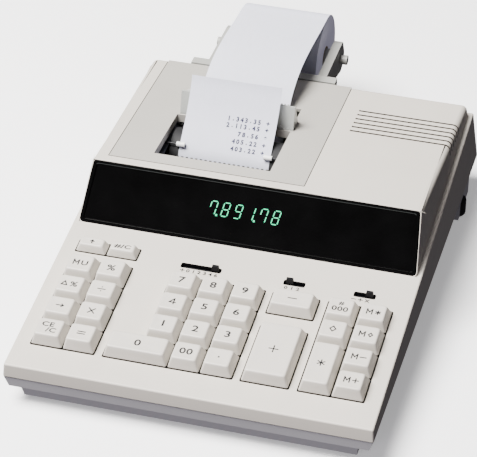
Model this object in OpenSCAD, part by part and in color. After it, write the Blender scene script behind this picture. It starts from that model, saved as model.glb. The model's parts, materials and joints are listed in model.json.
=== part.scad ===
// Desktop printing calculator: wedge case, raised printer and display section,
// 31 keys, three slide switches, impact printer and a paper roll on rear arms.
// Build frame: X across, Y from the deck's front edge to the back, Z up from the feet.

/* [Case] */
// Width of the key deck between its side edges
case_w = 214.3; // [205:0.1:225]
// Slope of the key deck, degrees
tilt = 6; // [4:0.5:7]
// Height of the deck's front edge above the table
deck_front_z = 27.7; // [26:0.1:30]
// Height of the seam between the two case halves
seam_z = 18.7; // [17:0.1:20]
// Depth of the deck plane, front edge to rear edge
deck_depth = 288.4; // [284:0.1:292]
// Wall thickness of the case
wall = 2.5; // [2:0.1:3]

/* [Raised section] */
// Distance from the deck's front edge to the foot of the display face
face_y = 127.3; // [126:0.1:128]
// Distance from the deck's front edge to the top of the display face
face_top_y = 149.5; // [147:0.1:150]
// Height of the display face's top edge
face_top_z = 73.6; // [72:0.1:75]
// Height of the raised section's rear edge
back_top_z = 66; // [64:0.1:67]
// Width of the raised section where it meets the deck
raised_w = 208.3; // [206:0.1:210]

/* [Keys] */
// Distance between neighbouring keys
pitch = 19.05; // [19:0.01:19.1]
// Height of a key cap above the deck
key_h = 8.2; // [7:0.1:9]
// Gap around a key cap
key_gap = 0.65; // [0.6:0.05:0.8]
// Travel of a key
key_travel = 3; // [2:0.5:3]

/* [Printer] */
// Width of the paper
paper_w = 57.5; // [56:0.5:58]
// Radius of the rubber platen
platen_r = 14.3; // [14:0.1:14.4]
// Radius of the full paper roll
roll_r = 28.5; // [24:0.5:29]

/* [Hidden] */
$fn = 48;
eps = 0.01;

// case
draft = 0.07;
front_flare = (deck_front_z - seam_z) * draft;
rear_foot_y = deck_depth + 12.6;
raised_draft = 0.1;
back_y = deck_depth - 4.1;
face_angle = atan2(face_top_z - deck_at(face_y), face_top_y - face_y);
face_len = norm([face_top_z - deck_at(face_y), face_top_y - face_y]);
top_slope = (back_top_z - face_top_z) / (back_y - face_top_y);
hull_fn = 32;

// lower case
step_z = 11.7;
base_z = 3;
leg = [90, 108.2, 250, 284];
leg_z = 0.6;
rear_foot = [103.9, 260.2];
rear_foot_h = 10.4;
screw_places = [[-92, 12], [92, 12], [-99.3, 276], [99.3, 276]];
inlet = [70, 90, 24, 40];
base_half_w = 98.5;
base_front_y = 4;
floor_t = 2.2;
board_z = base_z + floor_t + 2;
key_board_w = 187;
panel_gap = 0.5;

// key clusters, in deck coordinates
left_x = -97.8;
number_x = -54.8;
wide_x = 26.05;
right_x = 59.15;
row_y = 19.5;
wide_w = 28.05;
plus_len = 46.8;
minus_y = 77;
minus_len = 18.4;
small_y = 102.2;
small_len = 10.4;
small_h = 5.6;
key_skirt = 1.5;
key_wall = 1.2;
stem_w = 4.6;
stem_gap = 0.4;
plate_depth = 8.5;
plate_t = 1.2;
stem_out = 2.4;
dome_depth = plate_depth + stem_out + key_travel + 0.5;

// slide switches: left end of the slot, slot length, rest place of the knob
slot_y = 105.6;
slot_w = 3;
knob_w = 4.6;
slots = [[-32.4, 23.4, 18.2], [30.2, 11.7, 0.8], [72.4, 11.7, 6.4]];

// printer and paper
paper_x = -31;
paper_t = 0.3;
platen_c = [204, 52];
wrap_r = platen_r + 0.1 + paper_t / 2;
roll_c = [342, 50];
cover_x0 = -93.2;
cover_x1 = 28.3;
cover_y0 = 155.9;
cover_t = 2.2;
cover_gap = 0.4;
window = [-68, 4.8, 166.5, 217];
feed_slot = [-66, 4.5, 232.5, 246.5];
hinge_c = [280.5, 61.5];
hinge_pin_r = 1.5;
overall_front = -front_flare;
overall_back = roll_c[0] + roll_r;

function deck_at(y) = deck_front_z + y * tan(tilt);
function top_at(y) = face_top_z + (y - face_top_y) * top_slope;
function above(p) = p[1] - deck_at(p[0]);

// every part is built from the deck's front edge and then centred on the origin
module placed() translate([0, -(overall_front + overall_back) / 2, 0]) children();
module on_deck() translate([0, 0, deck_front_z]) rotate([tilt, 0, 0]) children();
module on_face() translate([0, face_y, deck_at(face_y)]) rotate([face_angle, 0, 0]) children();

// box from its two corners
module block(a, b) translate(a) cube(b - a);

// cylinder along X from x0 to x1 about the point c in the YZ plane
module rod(x0, x1, c, r) translate([x0, c[0], c[1]]) rotate([0, 90, 0]) cylinder(h = x1 - x0, r = r);

// side profile (Y, Z) carried across X
module across(x0, x1) translate([x0, 0, 0]) rotate([90, 0, 90]) linear_extrude(x1 - x0) children();

// solid between a side profile at -X and at +X, narrower the higher a point is above the deck
module side_loft(profile, half_w, taper) {
  n = len(profile);
  left = [for (p = profile) [-(half_w - taper * above(p)), p[0], p[1]]];
  right = [for (p = profile) [half_w - taper * above(p), p[0], p[1]]];
  polyhedron(concat(left, right), concat(
    [[for (i = [n - 1:-1:0]) i]],
    [[for (i = [0:n - 1]) i + n]],
    [for (i = [0:n - 1]) [i, (i + 1) % n, (i + 1) % n + n, i + n]]));
}

// solid between two rectangles [x0, x1, y0, y1] at heights za and zb
module frustum(a, za, b, zb)
  polyhedron([
    [a[0], a[2], za], [a[1], a[2], za], [a[1], a[3], za], [a[0], a[3], za],
    [b[0], b[2], zb], [b[1], b[2], zb], [b[1], b[3], zb], [b[0], b[3], zb]],
    [[0, 1, 2, 3], [7, 6, 5, 4], [0, 4, 5, 1], [1, 5, 6, 2], [2, 6, 7, 3], [3, 7, 4, 0]]);

// ---- case ----
function lower_profile(t, drop) = [
  [overall_front + t, seam_z - drop], [t, deck_at(t) - t], [deck_depth - t, deck_at(deck_depth - t) - t],
  [rear_foot_y - t, seam_z - drop]];
function raised_profile(t, sink) = [
  [face_y + 1.3 * t, deck_at(face_y) - sink], [face_y + 1.3 * t, deck_at(face_y) + 0.2 * t],
  [face_top_y + 0.75 * t, face_top_z - t], [back_y - t, back_top_z - t],
  [deck_depth - 1.2 - t, deck_at(deck_depth)], [deck_depth - 1.2 - t, deck_at(deck_depth) - sink]];

// plate over the whole display face with round corners, from depth d0 to depth d1
module face_panel(inset, d0, d1) {
  r = 2.6 - inset / 2;
  m = panel_gap + inset + r;
  half_low = raised_w / 2 - m;
  half_high = raised_w / 2 - raised_draft * above([face_top_y, face_top_z]) - m;
  on_face() hull() for (c = [[half_low, m], [half_high, face_len - m]], s = [-1, 1])
    translate([s * c[0], c[1], d0]) cylinder(h = d1 - d0, r = r, $fn = hull_fn);
}

module key_openings() on_deck() {
  d = [-wall * 3, wall * 2];
  block([left_x, row_y, d[0]], [left_x + 2 * pitch, row_y + 4 * pitch, d[1]]);
  block([number_x, row_y, d[0]], [number_x + 4 * pitch, row_y + pitch, d[1]]);
  block([number_x + pitch, row_y, d[0]], [number_x + 4 * pitch, row_y + 4 * pitch, d[1]]);
  block([right_x, row_y, d[0]], [right_x + 2 * pitch, row_y + 4 * pitch, d[1]]);
  block([wide_x, row_y, d[0]], [wide_x + wide_w, row_y + plus_len, d[1]]);
  block([wide_x, minus_y, d[0]], [wide_x + wide_w, minus_y + minus_len, d[1]]);
  block([left_x, small_y, d[0]], [left_x + 2 * pitch, small_y + small_len, d[1]]);
  for (s = slots) block([s[0], slot_y - slot_w / 2, d[0]], [s[0] + s[1], slot_y + slot_w / 2, d[1]]);
}

module vents() {
  for (i = [0:5])
    block([39.6, 229 + i * 5.25, back_top_z - 4], [raised_w / 2 + 1, 230.3 + i * 5.25, face_top_z]);
}

module top_case() color("#e4dfd6") placed() {
  difference() {
    union() {
      difference() {
        union() {
          side_loft(lower_profile(0, 0), case_w / 2, draft);
          side_loft(raised_profile(0, 6), raised_w / 2, raised_draft);
        }
        side_loft(lower_profile(wall, 1), case_w / 2 - wall, draft);
        side_loft(raised_profile(wall, 12), raised_w / 2 - wall, raised_draft);
        key_openings();
        face_panel(0, -1.8, wall);
        face_panel(3, -2 * wall, wall);
        vents();
        block([cover_x0 - cover_gap, cover_y0 - cover_gap, hinge_c[1] - 6],
          [cover_x1 + cover_gap, rear_foot_y, face_top_z + wall]);
      }
      // ribs beside the printer opening that carry the cover's hinge pins
      for (x = [cover_x0 - cover_gap - 1.8, cover_x1 + cover_gap])
        block([x, hinge_c[0] - 5, hinge_c[1] - 12], [x + 1.8, hinge_c[0] + 2, hinge_c[1] + 2.5]);
      // screw posts
      for (p = screw_places)
        translate([p[0], p[1], seam_z - 2]) cylinder(h = deck_at(p[1]) - wall / 2 - seam_z + 2, r = 3.4);
      // tongues that the front of the printer cover rests on
      for (x = [-80, -4]) {
        block([x, cover_y0 - 2.5, face_top_z - 5], [x + 14, cover_y0 - cover_gap, face_top_z - 2.6]);
        block([x, cover_y0 - 2.5, face_top_z - 5], [x + 14, cover_y0 + 3, face_top_z - 3.2]);
      }
    }
    for (p = screw_places) translate([p[0], p[1], seam_z - 3]) cylinder(h = 9, r = 1.3);
    rod(cover_x0 - cover_gap - 3, cover_x1 + cover_gap + 3, hinge_c, hinge_pin_r + 0.06);
    block([inlet[0] - 0.2, 280, inlet[2] - 0.2], [inlet[1] + 0.2, rear_foot_y + 2, inlet[3] + 0.2]);
  }
}

module bottom_case() color("#b9bcc4") placed() {
  side = case_w / 2 + 0.2;
  difference() {
    union() {
      difference() {
        union() {
          frustum([-side + 2.3, side - 2.3, 1.2, rear_foot_y - 4], step_z,
            [-side, side, -0.1, rear_foot_y - 0.8], seam_z);
          frustum([-base_half_w + 0.9, base_half_w - 0.9, base_front_y + 2, rear_foot_y - 14], base_z,
            [-base_half_w, base_half_w, base_front_y - 1.5, rear_foot_y - 10], step_z + eps);
        }
        frustum([-side + 6, side - 6, 4.5, rear_foot_y - 7], step_z + floor_t,
          [-side + 2, side - 2, 2, rear_foot_y - 3], seam_z + 1);
        frustum([-base_half_w + 4.5, base_half_w - 4.5, base_front_y + 4.5, rear_foot_y - 17], base_z + floor_t,
          [-base_half_w + 2.5, base_half_w - 2.5, base_front_y + 1.5, rear_foot_y - 13], step_z + floor_t + 1);
      }
      for (s = [-1, 1]) block([min(s * leg[0], s * leg[1]), leg[2], leg_z],
        [max(s * leg[0], s * leg[1]), leg[3], step_z + 5]);
      for (p = screw_places) translate([p[0], p[1], base_z]) cylinder(h = seam_z - 2.1 - base_z, r = 4.6);
      // posts under the key board
      for (x = [-60, 60], y = [26, 104]) translate([x, y, base_z + eps])
        cylinder(h = deck_at(y) - (dome_depth + 2.6) / cos(tilt) - 3 * tan(tilt) - base_z, r = 3);
    }
    // seats for the feet
    for (s = [-1, 1]) {
      translate([s * rear_foot[0], rear_foot[1], 0]) cylinder(h = rear_foot_h, r = 7.1);
      translate([s * 84, 24, 0]) cylinder(h = base_z + 0.8, r = 6.1);
    }
    // screw holes with sunk heads
    for (p = screw_places) translate([p[0], p[1], 0]) {
      cylinder(h = seam_z + 3, r = 1.6);
      cylinder(h = base_z + 4, r = 3.3);
    }
  }
}

module rubber_feet() color("#17171a") placed()
  for (s = [-1, 1]) {
    translate([s * 84, 24, 0]) cylinder(h = base_z + 0.8, r = 6);
    translate([s * rear_foot[0], rear_foot[1], 0]) cylinder(h = rear_foot_h, r = 7);
  }

module case_screws() color("#8d8f94") placed()
  for (p = screw_places) translate([p[0], p[1], 0]) {
    translate([0, 0, base_z + 2.2]) cylinder(h = 1.8, r = 2.9);
    translate([0, 0, base_z + 3.9]) cylinder(h = seam_z + 1 - base_z, r = 1.25);
  }

module display_window() color("#0b0d0c") placed() {
  face_panel(0.15, -1.75, -0.7);
  difference() {
    face_panel(0.15, -0.8, 0);
    face_panel(2.4, -2, 1);
  }
}

module display_tube() color("#27302c") placed() on_face() {
  block([-72, 9, -9.5], [72, 29, -4.5]);
  block([-76, 5.5, -12], [76, 32, -10.4]);
  for (x = [-66:6:66]) block([x, 6.4, -10.6], [x + 0.8, 9.2, -7.2]);
}

// ---- keyboard ----
module key_cap(x, y, w, l, stems = 1, h = key_h) color("#e6e1d8") placed() on_deck() {
  g = key_gap / 2;
  base = [x + g, x + w - g, y + g, y + l - g];
  crown = [x + 2.4, x + w - 2.4, y + 1.2, y + l - min(4.6, l * 0.24)];
  cx = x + w / 2;
  difference() {
    union() {
      frustum(base, 0, crown, h);
      block([base[0], base[2], -key_skirt], [base[1], base[3], eps]);
    }
    frustum([base[0] + key_wall, base[1] - key_wall, base[2] + key_wall, base[3] - key_wall], -key_skirt - eps,
      [crown[0] + key_wall, crown[1] - key_wall, crown[2] + key_wall, crown[3] - key_wall], h - 2);
  }
  for (i = [1:stems]) {
    cy = y + l * (2 * i - 1) / (2 * stems);
    block([cx - stem_w / 2, cy - stem_w / 2, -plate_depth - stem_out], [cx + stem_w / 2, cy + stem_w / 2, h - 1.9]);
  }
}
module left_key(c, r) key_cap(left_x + c * pitch, row_y + r * pitch, pitch, pitch);
module number_key(c, r) key_cap(number_x + c * pitch, row_y + r * pitch, pitch, pitch);
module right_key(c, r) key_cap(right_x + c * pitch, row_y + r * pitch, pitch, pitch);

// centres of all key stems, in deck coordinates
stem_places = concat(
  [for (c = [0, 1], r = [0:3]) [left_x + (c + 0.5) * pitch, row_y + (r + 0.5) * pitch]],
  [for (c = [0, 1]) [left_x + (c + 0.5) * pitch, small_y + small_len / 2]],
  [for (c = [1:3], r = [1:3]) [number_x + (c + 0.5) * pitch, row_y + (r + 0.5) * pitch]],
  [for (c = [1, 2.5, 3.5]) [number_x + c * pitch, row_y + 0.5 * pitch]],
  [for (r = [0:3]) [right_x + 1.5 * pitch, row_y + (r + 0.5) * pitch]],
  [for (r = [1, 2.5, 3.5]) [right_x + 0.5 * pitch, row_y + r * pitch]],
  [for (f = [0.25, 0.75]) [wide_x + wide_w / 2, row_y + plus_len * f]],
  [[wide_x + wide_w / 2, minus_y + minus_len / 2]]);

module key_plate() color("#9a9ca0") placed() on_deck() difference() {
  union() {
    block([-101, 16, -plate_depth - plate_t], [101, 119, -plate_depth]);
    for (p = [[-99.4, 60], [99.2, 60], [0, 17.6], [-57, 108], [24, 100]])
      translate([p[0], p[1], -plate_depth - eps]) cylinder(h = plate_depth - wall - 0.05, r = 1.5);
  }
  for (p = stem_places) {
    h = stem_w / 2 + stem_gap;
    block([p[0] - h, p[1] - h, -plate_depth - 2], [p[0] + h, p[1] + h, -plate_depth + 1]);
  }
  for (s = slots) block([s[0] - 3, slot_y - 4, -plate_depth - 2], [s[0] + s[1] + 3, slot_y + 4, -plate_depth + 1]);
}

module key_domes() color("#c9cbd0") placed() on_deck() {
  edge = key_board_w / 2 - 0.2;
  block([-edge, 18, -dome_depth - 1], [edge, 98, -dome_depth]);
  block([-edge, 97, -dome_depth - 1], [-55, 117, -dome_depth]);
  for (p = stem_places) translate([p[0], p[1], -dome_depth - eps]) difference() {
    cylinder(h = 2.4, r = 5, $fn = 16);
    translate([0, 0, -1]) cylinder(h = 5, r = 3.9, $fn = 16);
  }
}

module key_board() color("#5d7a4a") placed() on_deck() {
  block([-key_board_w / 2, 16, -dome_depth - 2.6], [key_board_w / 2, 119, -dome_depth - 1]);
}

module switch_bodies() color("#3a3b3f") placed() on_deck()
  for (s = slots) difference() {
    block([s[0] - 2.5, slot_y - 3.5, -wall - 5.6], [s[0] + s[1] + 2.5, slot_y + 3.5, -wall - 0.9]);
    block([s[0] - 0.6, slot_y - 1.6, -wall - 4.4], [s[0] + s[1] + 0.6, slot_y + 1.6, -wall]);
  }

module knob(i) color("#141416") placed() on_deck() {
  s = slots[i];
  x = s[0] + s[2];
  block([x, slot_y - 1.15, -wall - 4], [x + knob_w, slot_y + 1.15, 0.4]);
  frustum([x, x + knob_w, slot_y - 1.15, slot_y + 1.15], 0.3, [x + 0.4, x + knob_w - 0.4, slot_y - 0.9,
    slot_y + 0.9], 2.6);
}

// ---- electronics ----
module main_board() color("#4f7444") placed() {
  block([-90, 232, board_z], [38, 278, board_z + 1.6]);
  block([-80, 240, board_z + 1.5], [-52, 254, board_z + 5.3]);
  block([-40, 246, board_z + 1.5], [-14, 258, board_z + 5.3]);
  for (x = [0:12:24]) translate([x, 264, board_z + 1.5]) cylinder(h = 12, r = 4, $fn = 24);
  for (x = [-86, 34], y = [236, 274]) translate([x, y, base_z + floor_t]) cylinder(h = 2.1, r = 2.5, $fn = 24);
}

module transformer() color("#7d7f86") placed() {
  block([52, 206, base_z + floor_t], [88, 236, 38]);
  block([47, 212, 9], [52 + eps, 230, 32]);
  block([88 - eps, 212, 12], [92, 230, 32]);
  for (x = [58, 82]) block([x - 4, 198, base_z + floor_t], [x + 4, 206 + eps, base_z + floor_t + 1.6]);
}

module power_inlet() color("#1b1b1e") placed() {
  difference() {
    union() {
      block([inlet[0], 281, inlet[2]], [inlet[1], rear_foot_y - 2, inlet[3]]);
      block([inlet[0] - 1.5, 281, inlet[2] + 4], [inlet[1] + 1.5, 284, inlet[3] - 4]);
    }
    block([inlet[0] + 3, 285, inlet[2] + 2], [inlet[1] - 3, rear_foot_y, inlet[3] - 2]);
  }
  for (x = [76, 82.4]) block([x, 284, inlet[2] + 4.5], [x + 1.6, rear_foot_y - 5, inlet[2] + 6.1]);
}

// ---- printer ----
drum_c = [183.5, 42];
drum_r = 7.4;
ink_c = [171, 49];
ink_r = 6.6;
pinch_c = [192.8, 64];
pinch_r = 1.6;
gear_m = 0.8;
gear_teeth = 30;
pinion_teeth = 10;
gear_x = [11.5, 15];
mesh_angle = 230;
motor_c = platen_c + gear_m * (gear_teeth + pinion_teeth) / 2 * [cos(mesh_angle), sin(mesh_angle)];
frame_x = [[-72, -69.8], [7.8, 10]];

// toothed outline: one tooth centred on the angle `phase`
function tooth(n, a) = let (r = gear_m * n / 2, w = 90 / n) [
  for (k = [[-1.25, r - 0.9 * gear_m], [-0.95, r - 0.2 * gear_m], [-0.4, r + 0.8 * gear_m],
            [0.4, r + 0.8 * gear_m], [0.95, r - 0.2 * gear_m], [1.25, r - 0.9 * gear_m]])
    k[1] * [cos(a + k[0] * w), sin(a + k[0] * w)]];
module gear(n, phase) polygon([for (i = [0:n - 1]) each tooth(n, phase + i * 360 / n)]);

module printer_frame() color("#3c3e44") placed() {
  difference() {
    for (x = frame_x) across(x[0], x[1])
      polygon([[165, 14], [226, 14], [232, 52], [216, 64.5], [190, 66], [168, 60], [165, 54]]);
    rod(-80, 20, platen_c, 3.05);
    rod(-80, 20, drum_c, 2.55);
    rod(-80, 20, ink_c, 1.55);
    rod(-80, 20, pinch_c, 0.66);
  }
  block([frame_x[0][1] - eps, 168, 14], [frame_x[1][0] + eps, 226, 15.6]);
  block([frame_x[0][1] - eps, 224.4, 15.5], [frame_x[1][0] + eps, 226, 36]);
  // bent rail beside the paper
  block([frame_x[0][1] - eps, 172, 61], [-66.8, 214, 62.2]);
  for (x = [-60, -2], y = [176, 218]) translate([x, y, base_z + floor_t])
    cylinder(h = 14.1 - base_z - floor_t, r = 4);
}

module print_motor() color("#b8bac0") placed() {
  difference() {
    union() {
      rod(18.9, 44, motor_c, 9);
      block([17, motor_c[0] - 10, base_z + floor_t], [19, motor_c[0] + 9, motor_c[1] + 8]);
    }
    rod(16, 30, motor_c, 1.25);
  }
}

module motor_gear() color("#d8d4c4") placed() {
  across(gear_x[0], gear_x[1]) translate(motor_c) gear(pinion_teeth, mesh_angle + 180);
  rod(gear_x[0], 28, motor_c, 1.2);
}

module platen() color("#2b2b2e") placed() {
  rod(-66, 4, platen_c, platen_r);
  rod(-73, 16, platen_c, 3);
  across(gear_x[0], gear_x[1]) translate(platen_c) gear(gear_teeth, mesh_angle + 180 / gear_teeth);
}

module print_drum() color("#55585e") placed() {
  for (i = [0:11]) rod(-58 + i * 4.4, -54.6 + i * 4.4, drum_c, drum_r);
  rod(-72.5, 10.5, drum_c, 2.5);
}

module ink_roller() color("#2c2340") placed() {
  rod(-62, 0, ink_c, ink_r);
  rod(-72.5, 10.5, ink_c, 1.5);
}

module pinch_rollers() color("#f4f4f2") placed() {
  rod(-61.4, -56, pinch_c, pinch_r);
  rod(-72.3, -61.3, pinch_c, 0.6);
  rod(-6, -0.6, pinch_c, pinch_r);
  rod(-0.7, 10.3, pinch_c, 0.6);
}

module paper_comb() color("#101114") placed() {
  block([frame_x[0][1], 186.4, 50.8], [frame_x[1][0], 187.6, 55.6]);
  for (i = [0:19]) translate([paper_x - 29.2 + i * 3, 186.4, 55.5]) rotate([-22, 0, 0]) cube([1.4, 1.1, 3.4]);
}

// ---- paper ----
roll_top = [roll_c[0], roll_c[1] + roll_r + 0.05 + paper_t / 2];
feed_bend = [[305, 80], [258, 92], [238.5, 67]];
feed_end = feed_bend[2];
leave_angle = 133;
crease = [208, 75.6];
tape_end = [222, 97];

function bezier(a, b, c, d, t) =
  pow(1 - t, 3) * a + 3 * t * pow(1 - t, 2) * b + 3 * t * t * (1 - t) * c + pow(t, 3) * d;
function on_platen(a) = platen_c + wrap_r * [cos(a), sin(a)];
feed_gap = norm(feed_end - platen_c);
touch_angle = atan2(feed_end[1] - platen_c[1], feed_end[0] - platen_c[0]) - acos(wrap_r / feed_gap);
web_line = concat(
  [for (i = [0:14]) bezier(roll_top, feed_bend[0], feed_bend[1], feed_bend[2], i / 14)],
  [for (i = [0:24]) on_platen(touch_angle + (leave_angle - 360 - touch_angle) * i / 24)],
  [for (i = [0:8]) bezier(crease, crease + [4, 4.4], tape_end - [2, 7], tape_end, i / 8)]);

// band of even thickness along a line of points
function normal_at(p, i) =
  let (a = p[max(i - 1, 0)], b = p[min(i + 1, len(p) - 1)], d = (b - a) / norm(b - a)) [-d[1], d[0]];
function band(p, t) = concat(
  [for (i = [0:len(p) - 1]) p[i] + normal_at(p, i) * t / 2],
  [for (i = [len(p) - 1:-1:0]) p[i] - normal_at(p, i) * t / 2]);

module paper_web() color("#f3f4f8") placed()
  across(paper_x - paper_w / 2, paper_x + paper_w / 2) polygon(band(web_line, paper_t));

core_bore = 6.2;
module paper_roll() color("#f3f4f8") placed() difference() {
  rod(paper_x - paper_w / 2, paper_x + paper_w / 2, roll_c, roll_r);
  rod(paper_x - paper_w, paper_x + paper_w, roll_c, core_bore);
}

arm_x = [[-70.5, -64.7], [2.7, 8.5]];
module roll_holder() color("#b7b8b6") placed() {
  // cross bar behind the case and its two hooks over the rear wall
  block([-80, 289.6, 58.6], [16, 296.6, 63.6]);
  for (x = [-76, 2]) {
    block([x, 281.5, 55.6], [x + 10, 289.7, 58.2]);
    block([x, 288.4, 55.6], [x + 10, 291.5, 58.7]);
    block([x, 281.5, 46], [x + 10, 283.4, 55.7]);
  }
  // arms, each with a stub for the roll and a grip outside it
  for (a = arm_x) across(a[0], a[1]) {
    polygon([[296, 62], [296, 58.8], [303, 48.5], [roll_c[0] - 4, roll_c[1] - 8.1], [roll_c[0], roll_c[1] - 9],
      [roll_c[0], 62]]);
    translate(roll_c) circle(r = 9);
    polygon([[roll_c[0] - 0.1, 62], [roll_c[0] - 0.1, roll_c[1]], [roll_c[0] + 8.6, roll_c[1] + 2.6],
      [roll_c[0] + 4.5, 61]]);
  }
  stub_r = core_bore - 0.08;
  rod(arm_x[0][1] - eps, paper_x - paper_w / 2 + 9, roll_c, stub_r);
  rod(paper_x + paper_w / 2 - 9, arm_x[1][0] + eps, roll_c, stub_r);
  for (x = [arm_x[0][0] - 5, arm_x[1][1] - eps]) {
    rod(x, x + 5, roll_c + [-3, 2], 3.2);
  }
}

// ---- printer cover ----
module cover_plate(t, drop) across(cover_x0, cover_x1)
  polygon([[cover_y0, top_at(cover_y0) - drop], [back_y, top_at(back_y) - drop],
    [back_y, top_at(back_y) - drop - t], [cover_y0, top_at(cover_y0) - drop - t]]);

module printer_cover() color("#d6d3cb") placed() {
  difference() {
    union() {
      cover_plate(cover_t, 0);
      // rim around the window
      intersection() {
        cover_plate(3.2, cover_t - eps);
        block([window[0] - 1.5, window[2] - 1.5, 50], [window[1] + 1.5, window[3] + 1.5, 90]);
      }
      for (x = [cover_x0, cover_x1 - 3]) {
        across(x, x + 3) polygon([[277, hinge_c[1] + 4], [277.8, hinge_c[1] - 2], [283.2, hinge_c[1] - 2],
          [283.8, hinge_c[1] + 3.5]]);
      }
      rod(cover_x0 - cover_gap - 1.5, cover_x0 + 2, hinge_c, hinge_pin_r);
      rod(cover_x1 - 2, cover_x1 + cover_gap + 1.5, hinge_c, hinge_pin_r);
    }
    block([window[0], window[2], 50], [window[1], window[3], 90]);
    block([feed_slot[0], feed_slot[2], 50], [feed_slot[1], feed_slot[3], 90]);
  }
}

module tear_bar() color("#c8cccd") placed() {
  bar = [-66.5, 6.2];
  foot = [218, 230];
  crest = [223, 84.5];
  across(bar[0], bar[1]) polygon([[foot[0], top_at(foot[0])], [foot[1], top_at(foot[1])],
    [foot[1], top_at(foot[1]) + 1.2], [foot[0] + 2.2, top_at(foot[0]) + 1.2], crest, [crest[0] - 1.4, crest[1]],
    [foot[0], top_at(foot[0]) + 1.4]]);
  for (x = [bar[0], bar[1] - 1.6]) across(x, x + 1.6)
    polygon([[foot[0] + 1, top_at(foot[0]) + 1], [foot[1], top_at(foot[1]) + 1], crest, [crest[0] - 1, crest[1]]]);
  for (i = [0:31]) across(bar[0] + 4 + i * 2.05, bar[0] + 5.1 + i * 2.05)
    polygon([[crest[0] - 1.4, crest[1] - eps], crest - [0, eps], crest + [0, 0.9]]);
}

// ---- knobs and keys, one module each ----
module knob_decimal() knob(0);
module knob_print() knob(1);
module knob_round() knob(2);
module key_feed() key_cap(left_x, small_y, pitch, small_len, h = small_h);
module key_item() key_cap(left_x + pitch, small_y, pitch, small_len, h = small_h);
module key_ce() left_key(0, 0);
module key_equals() left_key(1, 0);
module key_forward() left_key(0, 1);
module key_times() left_key(1, 1);
module key_delta() left_key(0, 2);
module key_divide() left_key(1, 2);
module key_markup() left_key(0, 3);
module key_percent() left_key(1, 3);
module key_0() key_cap(number_x, row_y, 2 * pitch, pitch);
module key_00() number_key(2, 0);
module key_point() number_key(3, 0);
module key_1() number_key(1, 1);
module key_2() number_key(2, 1);
module key_3() number_key(3, 1);
module key_4() number_key(1, 2);
module key_5() number_key(2, 2);
module key_6() number_key(3, 2);
module key_7() number_key(1, 3);
module key_8() number_key(2, 3);
module key_9() number_key(3, 3);
module key_plus() key_cap(wide_x, row_y, wide_w, plus_len, 2);
module key_minus() key_cap(wide_x, minus_y, wide_w, minus_len);
module key_total() key_cap(right_x, row_y, pitch, 2 * pitch);
module key_diamond() right_key(0, 2);
module key_date() right_key(0, 3);
module key_m_plus() right_key(1, 0);
module key_m_minus() right_key(1, 1);
module key_m_diamond() right_key(1, 2);
module key_m_total() right_key(1, 3);

bottom_case();
top_case();
display_window();
display_tube();
rubber_feet();
case_screws();
key_plate();
key_domes();
key_board();
main_board();
transformer();
power_inlet();
switch_bodies();
printer_frame();
print_motor();
motor_gear();
paper_comb();
print_drum();
platen();
pinch_rollers();
ink_roller();
roll_holder();
paper_roll();
paper_web();
printer_cover();
tear_bar();
knob_decimal();
knob_print();
knob_round();
key_feed();
key_item();
key_ce();
key_equals();
key_forward();
key_times();
key_delta();
key_divide();
key_markup();
key_percent();
key_0();
key_00();
key_point();
key_1();
key_2();
key_3();
key_4();
key_5();
key_6();
key_7();
key_8();
key_9();
key_plus();
key_minus();
key_total();
key_diamond();
key_date();
key_m_plus();
key_m_minus();
key_m_diamond();
key_m_total();
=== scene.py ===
import json
import math
import random

import bmesh
import bpy
from mathutils import Matrix, Vector
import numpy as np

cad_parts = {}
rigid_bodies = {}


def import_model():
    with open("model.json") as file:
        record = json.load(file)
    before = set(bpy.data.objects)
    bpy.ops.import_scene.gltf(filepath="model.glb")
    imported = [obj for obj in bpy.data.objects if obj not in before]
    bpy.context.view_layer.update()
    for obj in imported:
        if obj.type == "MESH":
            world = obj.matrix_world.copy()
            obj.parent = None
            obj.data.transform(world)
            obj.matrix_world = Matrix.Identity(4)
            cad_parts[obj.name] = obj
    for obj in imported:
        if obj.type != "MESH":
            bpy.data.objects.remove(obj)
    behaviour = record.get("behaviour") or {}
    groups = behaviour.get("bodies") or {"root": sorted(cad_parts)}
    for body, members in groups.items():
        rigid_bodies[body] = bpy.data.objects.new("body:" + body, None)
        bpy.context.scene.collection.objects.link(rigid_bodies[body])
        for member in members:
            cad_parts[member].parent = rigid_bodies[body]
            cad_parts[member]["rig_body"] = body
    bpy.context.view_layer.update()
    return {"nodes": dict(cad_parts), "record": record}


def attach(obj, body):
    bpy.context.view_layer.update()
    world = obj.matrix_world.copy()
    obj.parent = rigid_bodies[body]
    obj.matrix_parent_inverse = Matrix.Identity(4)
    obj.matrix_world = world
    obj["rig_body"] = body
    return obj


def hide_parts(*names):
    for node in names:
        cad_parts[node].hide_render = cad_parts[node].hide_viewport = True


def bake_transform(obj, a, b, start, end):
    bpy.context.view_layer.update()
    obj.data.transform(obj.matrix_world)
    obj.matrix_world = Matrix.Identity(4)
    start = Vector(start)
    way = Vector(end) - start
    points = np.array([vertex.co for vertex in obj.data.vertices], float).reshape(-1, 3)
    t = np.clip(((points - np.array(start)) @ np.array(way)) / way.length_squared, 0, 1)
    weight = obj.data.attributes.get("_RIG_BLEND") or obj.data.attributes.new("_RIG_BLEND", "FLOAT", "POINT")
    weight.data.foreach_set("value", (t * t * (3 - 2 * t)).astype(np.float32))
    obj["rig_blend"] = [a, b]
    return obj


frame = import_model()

MM = 0.001
SHIFT = 184.935          # the frame's origin, behind the deck's front edge, mm
NODES = frame["nodes"]
SLOT_OF = {s["node"]: s["material_slot"] for s in frame["record"]["subparts"]}
BODY_OF = {n: o["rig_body"] for n, o in NODES.items()}

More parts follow.
